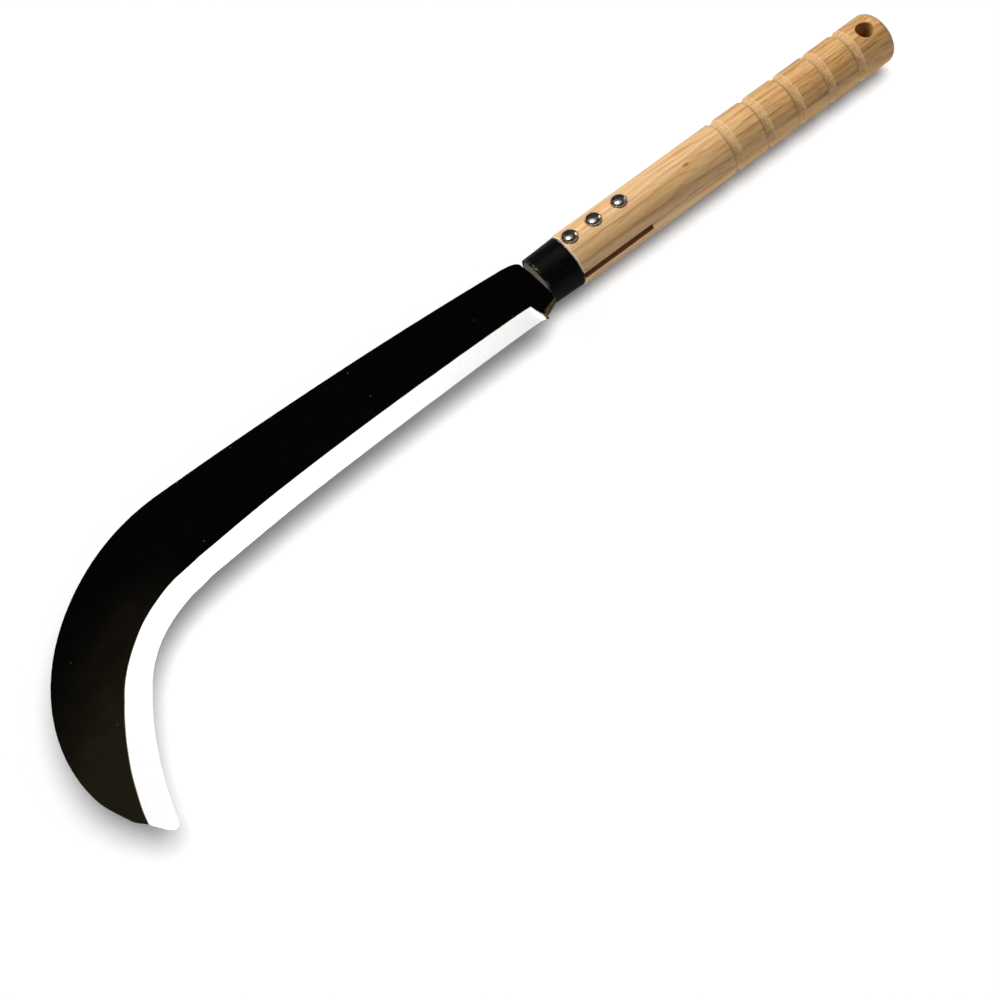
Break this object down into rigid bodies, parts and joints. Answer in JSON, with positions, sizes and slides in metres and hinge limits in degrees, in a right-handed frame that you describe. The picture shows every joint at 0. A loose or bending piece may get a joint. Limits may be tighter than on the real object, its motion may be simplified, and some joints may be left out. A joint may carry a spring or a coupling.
{
  "type": "hand sickle",
  "caption": "Hand sickle with a long flat blade curving into a hook, bevelled inner edge, steel ferrule and a turned, grooved wooden handle with a hanging hole.",
  "frame": {"origin": "centre of the flat butt face of the handle", "axes": "+X runs along the handle's axis towards the blade; +Y is the cutting-edge side, which the hook opens to; +Z is square to the blade, on the face with the rivet heads"},
  "size_m": [0.5784, 0.1622, 0.0357],
  "materials": {
    "blade_black": "black gloss lacquer on forged steel, with a bare bevel ground across on both faces of the inner edge",
    "handle_wood": "turned ash-like hardwood, lightly varnished, grain along the handle",
    "ferrule_black": "satin black paint",
    "rivet_steel": "polished, set by hammer",
    "label_foil": "slightly wrinkled silver foil sticker, blank"
  },
  "bodies": {
    "root": {"blade": "blade_black", "handle": "handle_wood", "ferrule": "ferrule_black", "rivet_front": "rivet_steel", "rivet_middle": "rivet_steel", "rivet_rear": "rivet_steel", "label": "label_foil"}
  },
  "joints": []
}
